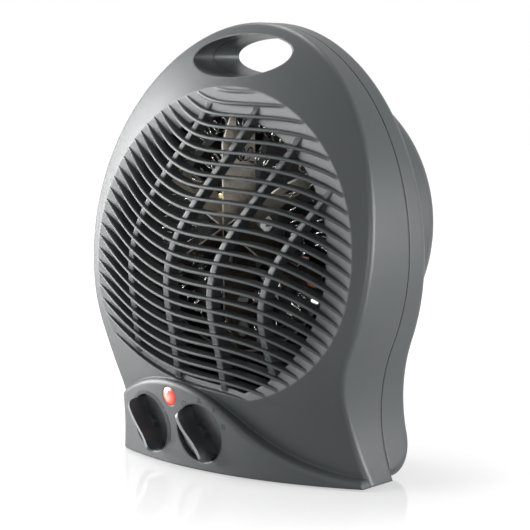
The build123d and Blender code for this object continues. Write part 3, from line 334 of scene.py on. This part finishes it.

# %% [markdown]
# ## Mica
#
# Mica board is pressed from pale flakes, so it is mottled and slightly pearly. Here the boards are painted
# dark brown up to about the fan axis, as painted shade for the dark lower half behind the grille, and stay
# pale above it.

# %% Mica
SHADED_BELOW = 0.135
LIT_ABOVE = 0.160
mica = Finish("mica_board")
flake_inputs = {"Vector": mica.place, "Scale": 420.0}
flakes = mica.amount("ShaderNodeTexVoronoi", {"feature": "F1"}, flake_inputs, "Distance")
cloud = mica.noise(90.0, 3.0)
pale_mica = mica.mix(cloud * 0.6 + flakes * 0.6, tone(232, 227, 216), tone(196, 189, 176))
# Painted shade: below about the fan axis the boards turn dark brown.
lit_share = mica.axis("Z").step(SHADED_BELOW, LIT_ABOVE)
mica.set(
    Base_Color=mica.mix(lit_share, tone(64, 56, 48), pale_mica),
    Roughness=0.38 + flakes * 0.3,
    Normal=mica.bump(flakes, 0.00005),
)
mica.set(Coat_Weight=0.15)
print("mica made")

# %% [markdown]
# ## The control panel as a surface
#
# Marks are printed on the panel, which is part of a large cylinder that leans forward. One function gives
# the point of the panel at a given X and Z, lifted from it by a given distance. Flat marks are made first
# and then pressed on.

# %% Points on the panel
PANEL_FRONT = -0.0485
PANEL_RADIUS = 0.230
PANEL_TILT = radians(8.0)
panel_up = Vector((0, -sin(PANEL_TILT), cos(PANEL_TILT)))
panel_out = Vector((0, -cos(PANEL_TILT), -sin(PANEL_TILT)))
panel_axis = Vector((0, PANEL_FRONT + PANEL_RADIUS / cos(PANEL_TILT), 0))
FUNCTION_SPOT = (-0.0049, 0.0233)
THERMOSTAT_SPOT = (-0.0490, 0.0233)
LAMP_SPOT = (-0.0265, 0.0428)


def panel_normal(x):
    """Direction out of the panel at a given X."""
    side = x / PANEL_RADIUS
    return Vector((side, 0, 0)) + panel_out * sqrt(1 - side**2)


def on_panel(x, z, lift):
    """Point of the panel at X and Z, lifted along its normal."""
    normal = panel_normal(x)
    climb = (z - PANEL_RADIUS * normal.z) / cos(PANEL_TILT)
    return panel_axis + panel_up * climb + normal * (PANEL_RADIUS + lift)


print("panel at its middle", [round(v, 4) for v in on_panel(0.0, 0.0, 0.0)])

# %% [markdown]
# ## Knobs with a pale ridge
#
# Each knob is nearly black with a satin gloss, and the top of its grip is paler. The height above the panel,
# measured along the knob's own axis, picks out the top of the grip: it stays there when the knob turns.

# %% Knob plastic
RIDGE_START = 0.0085
RIDGE_FULL = 0.0087


def knob_finish(name, spot):
    """Near-black plastic whose ridge is pale."""
    finish = Finish(name)
    inputs = {0: finish.place, 1: tuple(on_panel(*spot, 0.0))}
    lifted = finish.node("ShaderNodeVectorMath", {"operation": "SUBTRACT"}, inputs)
    inputs = {0: lifted.outputs[0], 1: tuple(panel_normal(spot[0]))}
    height = finish.amount("ShaderNodeVectorMath", {"operation": "DOT_PRODUCT"}, inputs, "Value")
    ridge = height.step(RIDGE_START, RIDGE_FULL)
    fine = finish.noise(2400.0)
    black = finish.mix(fine, tone(27, 28, 30), tone(36, 37, 39))
    finish.set(
        Base_Color=finish.mix(ridge, black, tone(96, 98, 101)),
        Roughness=0.28 + fine * 0.1,
        Normal=finish.bump(fine, 0.00001),
    )
    return finish.material


thermostat_black = knob_finish("thermostat_knob_black", THERMOSTAT_SPOT)
function_black = knob_finish("function_knob_black", FUNCTION_SPOT)
print("knob plastics made")

# %% [markdown]
# ## The pilot lamp
#
# The pilot lens is clear red plastic with a neon lamp behind it: it glows, palest over the lamp. Real
# refraction would be slow and noisy at this size, so the glow is an emission colour that changes with the
# distance from the middle of the lens.

# %% The glowing lens
GLOW_INSIDE = 0.0004
GLOW_OUTSIDE = 0.0056
lens = Finish("red_lens")
lens_middle = on_panel(*LAMP_SPOT, 0.0)
lens_inputs = {0: lens.place, 1: tuple(lens_middle)}
offset = lens.node("ShaderNodeVectorMath", {"operation": "SUBTRACT"}, lens_inputs)
reach = lens.amount("ShaderNodeVectorMath", {"operation": "LENGTH"}, {0: offset.outputs[0]}, "Value")
glow = 1 - reach.step(GLOW_INSIDE, GLOW_OUTSIDE)
ripple = lens.noise(700.0)
lens.set(
    Base_Color=lens.mix(ripple, tone(190, 40, 26), tone(212, 56, 36)),
    Emission_Color=lens.mix(glow, tone(150, 18, 8), tone(255, 196, 168)),
    Roughness=0.14 + ripple * 0.08,
    Normal=lens.bump(ripple, 0.00003),
)
lens.set(Emission_Strength=0.7, Coat_Weight=0.6)
neon = Finish("neon_glass")
neon_cloud = neon.noise(400.0)
neon.set(
    Base_Color=neon.mix(neon_cloud, tone(240, 170, 120), tone(255, 200, 160)),
    Emission_Color=neon.mix(neon_cloud, tone(255, 120, 50), tone(255, 160, 90)),
    Roughness=0.1 + neon_cloud * 0.1,
)
neon.set(Emission_Strength=1.2)
print("lamp at", [round(v, 4) for v in lens_middle])

# %% [markdown]
# ## Dress the solids
#
# Each solid keeps its shape and takes the finish that belongs to it.

# %% Assign the finishes
finishes = {
    housing_plastic: ["front_housing", "rear_housing"],
    intake_plastic: ["intake_grille"],
    sheet_steel: ["air_duct", "motor_bracket", "bearing_bridge"],
    mica.material: ["mica_board_left", "mica_board_upright", "mica_board_right"],
    wire_metal: ["outer_heating_coil", "inner_heating_coil"],
    control_plastic: ["thermal_cutout", "thermostat_body", "function_switch"],
    brass_metal: ["thermal_fuse", "control_nuts", "terminal_screws"],
    lamination_metal: ["motor_stator"],
    copper_turns: ["motor_winding"],
    iron_metal: ["motor_rotor"],
    shaft_metal: ["motor_shaft", "thermostat_spindle", "function_spindle"],
    bronze_metal: ["front_bearing", "rear_bearing"],
    screw_metal: ["motor_bolts", "bracket_screws", "duct_screws", "housing_screws", "fan_clip"],
    fan_plastic: ["fan_impeller"],
    thermostat_black: ["thermostat_knob"],
    function_black: ["function_knob"],
    lens.material: ["lamp_lens"],
    neon.material: ["neon_lamp"],
    foot_rubber: ["rubber_feet"],
    gland_rubber: ["cord_gland"],
    block_plastic: ["terminal_block"],
}
dressed = []
for material, names in finishes.items():
    for name in names:
        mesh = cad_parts[name].data
        mesh.materials.clear()
        mesh.materials.append(material)
        dressed.append(name)
print("dressed", len(dressed), "left", sorted(set(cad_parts) - set(dressed)))

# %% [markdown]
# ## Heating coils
#
# The element is resistance wire curled into two long springs that run round the fan axis, through holes in
# the mica boards. A curve with a round bevel is the natural way: its points come from the same formula as
# the solid's, with more of them to each curl, and it becomes a mesh at the end. The smooth line passes
# inside its points, so they stand out a little.

# %% Wind the coils
FAN_HEIGHT = 0.141
COIL_DEPTH = -0.018
CURL_RADIUS = 0.004
WIRE_RADIUS = 0.0005
COIL_GAP = radians(16.0)
POINTS_PER_CURL = 12
POINTS_OUTWARD = 1.04


def wind_coil(name, node, radius, curls):
    """A wire of many curls round the fan axis, in place of its plain solid."""
    bpy.ops.object.select_all(action="DESELECT")
    bpy.ops.curve.primitive_nurbs_path_add()
    wire = bpy.context.object
    wire.name = name
    spline = wire.data.splines[0]
    count = POINTS_PER_CURL * curls + 1
    spline.points.add(count - len(spline.points))
    for index, point in enumerate(spline.points):
        share = index / (count - 1)
        turn = -pi / 2 + COIL_GAP / 2 + (2 * pi - COIL_GAP) * share
        curl = 2 * pi * curls * share
        far = radius + CURL_RADIUS * POINTS_OUTWARD * cos(curl)
        deep = COIL_DEPTH + CURL_RADIUS * POINTS_OUTWARD * sin(curl)
        point.co = (far * cos(turn), deep, FAN_HEIGHT + far * sin(turn), 1.0)
    spline.order_u = 4
    spline.use_endpoint_u = True
    spline.resolution_u = 2
    wire.data.dimensions = "3D"
    wire.data.bevel_depth = WIRE_RADIUS
    wire.data.bevel_resolution = 2
    wire.data.use_fill_caps = True
    bpy.ops.object.convert(target="MESH")
    bpy.ops.object.shade_smooth()
    wire = bpy.context.object
    wire.data.materials.clear()
    wire.data.materials.append(wire_metal)
    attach(wire, "heater")
    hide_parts(node)
    print(name, len(wire.data.polygons), "faces")


wind_coil("outer_coil_wire", "outer_heating_coil", 0.060, 54)
wind_coil("inner_coil_wire", "inner_heating_coil", 0.042, 38)

# %% [markdown]
# ## Printed marks
#
# Beside the knobs are the usual marks: a ring for off, a small fan for cool air, one and two bars for the
# heat, and round the thermostat a scale of three lines that grow broader and darker from cool to warm. Each
# is drawn flat, thickened like a layer of ink and then pressed on the panel, as a pad printer does it.

# %% Ink
INK_THICKNESS = 0.00014
INK_SINK = 0.00004


def draw(add, **shape):
    """Starts a flat drawing from a primitive, in edit mode."""
    bpy.ops.object.select_all(action="DESELECT")
    add(**shape)
    bpy.ops.object.mode_set(mode="EDIT")
    bpy.ops.mesh.select_all(action="SELECT")


def press(name, spot, ink):
    """Thickens the drawing, moves its points on to the panel round a spot and inks it."""
    bpy.ops.mesh.select_all(action="SELECT")
    bpy.ops.mesh.extrude_region_move(TRANSFORM_OT_translate={"value": (0, 0, INK_THICKNESS)})
    bpy.ops.mesh.select_all(action="SELECT")
    bpy.ops.mesh.normals_make_consistent(inside=False)
    bpy.ops.object.mode_set(mode="OBJECT")
    mark = bpy.context.object
    mark.name = name
    for point in mark.data.vertices:
        across, climb, lift = point.co
        point.co = on_panel(spot[0] + across, spot[1] + climb, lift - INK_SINK)
    mark.data.materials.clear()
    mark.data.materials.append(ink)
    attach(mark, "heater")
    print(name, len(mark.data.polygons), "faces")


# %% Off, fan and heat marks
OFF_SPOT = (-0.0142, 0.0403)
FAN_SPOT = (-0.0016, 0.0429)
LOW_SPOT = (0.0087, 0.0388)
HIGH_SPOT = (0.0146, 0.0297)
RING_RADIUS = 0.0017
RING_LINE = 0.00055
draw(bpy.ops.mesh.primitive_circle_add, vertices=32, radius=RING_RADIUS, fill_type="NGON")
bpy.ops.mesh.inset(thickness=RING_LINE)
bpy.ops.mesh.delete(type="FACE")
press("off_mark", OFF_SPOT, dark_print)

BLADE_LENGTH = 0.0019
BLADE_SLENDER = 0.55
BLADE_AWAY = 0.56
draw(bpy.ops.mesh.primitive_circle_add, vertices=20, radius=BLADE_LENGTH / 2, fill_type="NGON")
bpy.ops.transform.resize(value=(BLADE_SLENDER, 1.0, 1.0))
bpy.ops.transform.translate(value=(0.0, BLADE_LENGTH * BLADE_AWAY, 0.0))
for blade in range(2):
    bpy.ops.mesh.duplicate()
    bpy.ops.transform.rotate(value=2 * pi / 3, orient_axis="Z", center_override=(0.0, 0.0, 0.0))
press("fan_mark", FAN_SPOT, dark_print)

BAR_WIDTH = 0.0007
BAR_HEIGHT = 0.0032
BAR_PITCH = 0.0016
BAR_ROUNDING = 0.45


def bar(name, spot):
    """A short upright stroke with rounded ends."""
    draw(bpy.ops.mesh.primitive_plane_add, size=1.0)
    bpy.ops.transform.resize(value=(BAR_WIDTH, BAR_HEIGHT, 1.0))
    bpy.ops.mesh.bevel(offset=BAR_WIDTH * BAR_ROUNDING, segments=4, affect="VERTICES")
    press(name, spot, dark_print)


bar("low_heat_mark", LOW_SPOT)
bar("high_heat_mark_1", (HIGH_SPOT[0] - BAR_PITCH / 2, HIGH_SPOT[1]))
bar("high_heat_mark_2", (HIGH_SPOT[0] + BAR_PITCH / 2, HIGH_SPOT[1]))

# %% Thermostat scale
SCALE_RADIUS = 0.0180
SCALE_LINES = {
    "cool_line": (pale_print, 158.0, 96.0, 0.0016, 0.0018),
    "middle_line": (middle_print, 92.0, 34.0, 0.0018, 0.0021),
    "warm_line": (dark_print, 30.0, -24.0, 0.0021, 0.0025),
}
for name, (ink, start, end, thin, thick) in SCALE_LINES.items():
    draw(bpy.ops.mesh.primitive_grid_add, x_subdivisions=24, y_subdivisions=1, size=1.0)
    bpy.ops.object.mode_set(mode="OBJECT")
    for point in bpy.context.object.data.vertices:
        share = point.co.x + 0.5
        turn = radians(start + (end - start) * share)
        far = SCALE_RADIUS + (point.co.y + 0.5) * (thin + (thick - thin) * share)
        point.co = (far * cos(turn), far * sin(turn), 0.0)
    bpy.ops.object.mode_set(mode="EDIT")
    press(name, THERMOSTAT_SPOT, ink)

# %% [markdown]
# ## Floor, light and background
#
# The heater stands on white. The floor shows a soft shadow and the faintest reflection, and turns fully
# white a little way off. The key is a large soft box on the left, which lights the faces that turn away from
# the camera. A second one on the right lights the side, and one above and behind lights the handle. Two weak
# ones in front, beside the camera and on the left, reach the boards behind the grille and the panel.

# %% Floor
FLOOR_SIZE = 8.0
FLOOR_NEAR = 0.6
DIM_WITHIN = 0.10
WHITE_BEYOND = 0.28
PAPER_GREY = (0.28, 0.28, 0.28, 1.0)
WHITE = (1.0, 1.0, 1.0, 1.0)
GLOSS_ROUGHNESS = 0.09
GLOSS_SHARE = 0.16
bpy.ops.object.select_all(action="DESELECT")
bpy.ops.mesh.primitive_plane_add(size=FLOOR_SIZE)
floor = bpy.context.object
floor.name = "studio_floor"
sweep = Finish("studio_white")
seen = sweep.seen_straight()
away = sweep.amount("ShaderNodeVectorMath", {"operation": "LENGTH"}, {0: sweep.place}, "Value")
bright = seen * (FLOOR_NEAR + away.step(DIM_WITHIN, WHITE_BEYOND) * (1.0 - FLOOR_NEAR))
paper = sweep.node("ShaderNodeBsdfDiffuse", {}, {"Color": PAPER_GREY})
white = sweep.node("ShaderNodeEmission", {}, {"Color": WHITE, "Strength": bright})
gloss = sweep.node("ShaderNodeBsdfGlossy", {}, {"Color": WHITE, "Roughness": GLOSS_ROUGHNESS})
lit = sweep.node("ShaderNodeAddShader", {}, {0: paper.outputs[0], 1: white.outputs[0]})
shiny = sweep.node("ShaderNodeMixShader", {}, {0: GLOSS_SHARE, 1: lit.outputs[0], 2: gloss.outputs[0]})
sweep.tree.links.new(shiny.outputs[0], sweep.output.inputs["Surface"])
floor.data.materials.append(sweep.material)
print("floor", FLOOR_SIZE, "m across")

# %% World
AMBIENT = 0.42
world = bpy.data.worlds.new("studio")
bpy.context.scene.world = world
world.use_nodes = True
sky = Graph(world.node_tree)
strength = AMBIENT + sky.seen_straight() * (1.0 - AMBIENT)
sky.feed(world.node_tree.nodes["Background"], {"Color": WHITE, "Strength": strength})
print("ambient light", AMBIENT)

# %% Lamps
AIM_HEIGHT = 0.13


def soft_box(name, turn, height, distance, size, energy):
    """A square area lamp on a circle round the heater, aimed at its middle."""
    spot = Vector((distance * sin(turn), -distance * cos(turn), height))
    aim = Vector((0.0, 0.0, AIM_HEIGHT)) - spot
    turned = aim.to_track_quat("-Z", "Y").to_euler()
    bpy.ops.object.select_all(action="DESELECT")
    bpy.ops.object.light_add(type="AREA", location=spot, rotation=turned)
    lamp = bpy.context.object
    lamp.name = name
    lamp.data.size = size
    lamp.data.energy = energy


soft_box("key_box", radians(-68.0), 0.45, 1.5, 1.0, 57.0)
soft_box("edge_box", radians(112.0), 0.2, 1.5, 0.8, 42.0)
soft_box("top_box", radians(-120.0), 1.6, 0.7, 0.8, 17.0)
soft_box("front_box", radians(47.0), 0.3, 1.5, 0.3, 7.0)
soft_box("panel_box", radians(-38.0), 0.5, 1.5, 0.5, 11.0)
print("lamps placed")
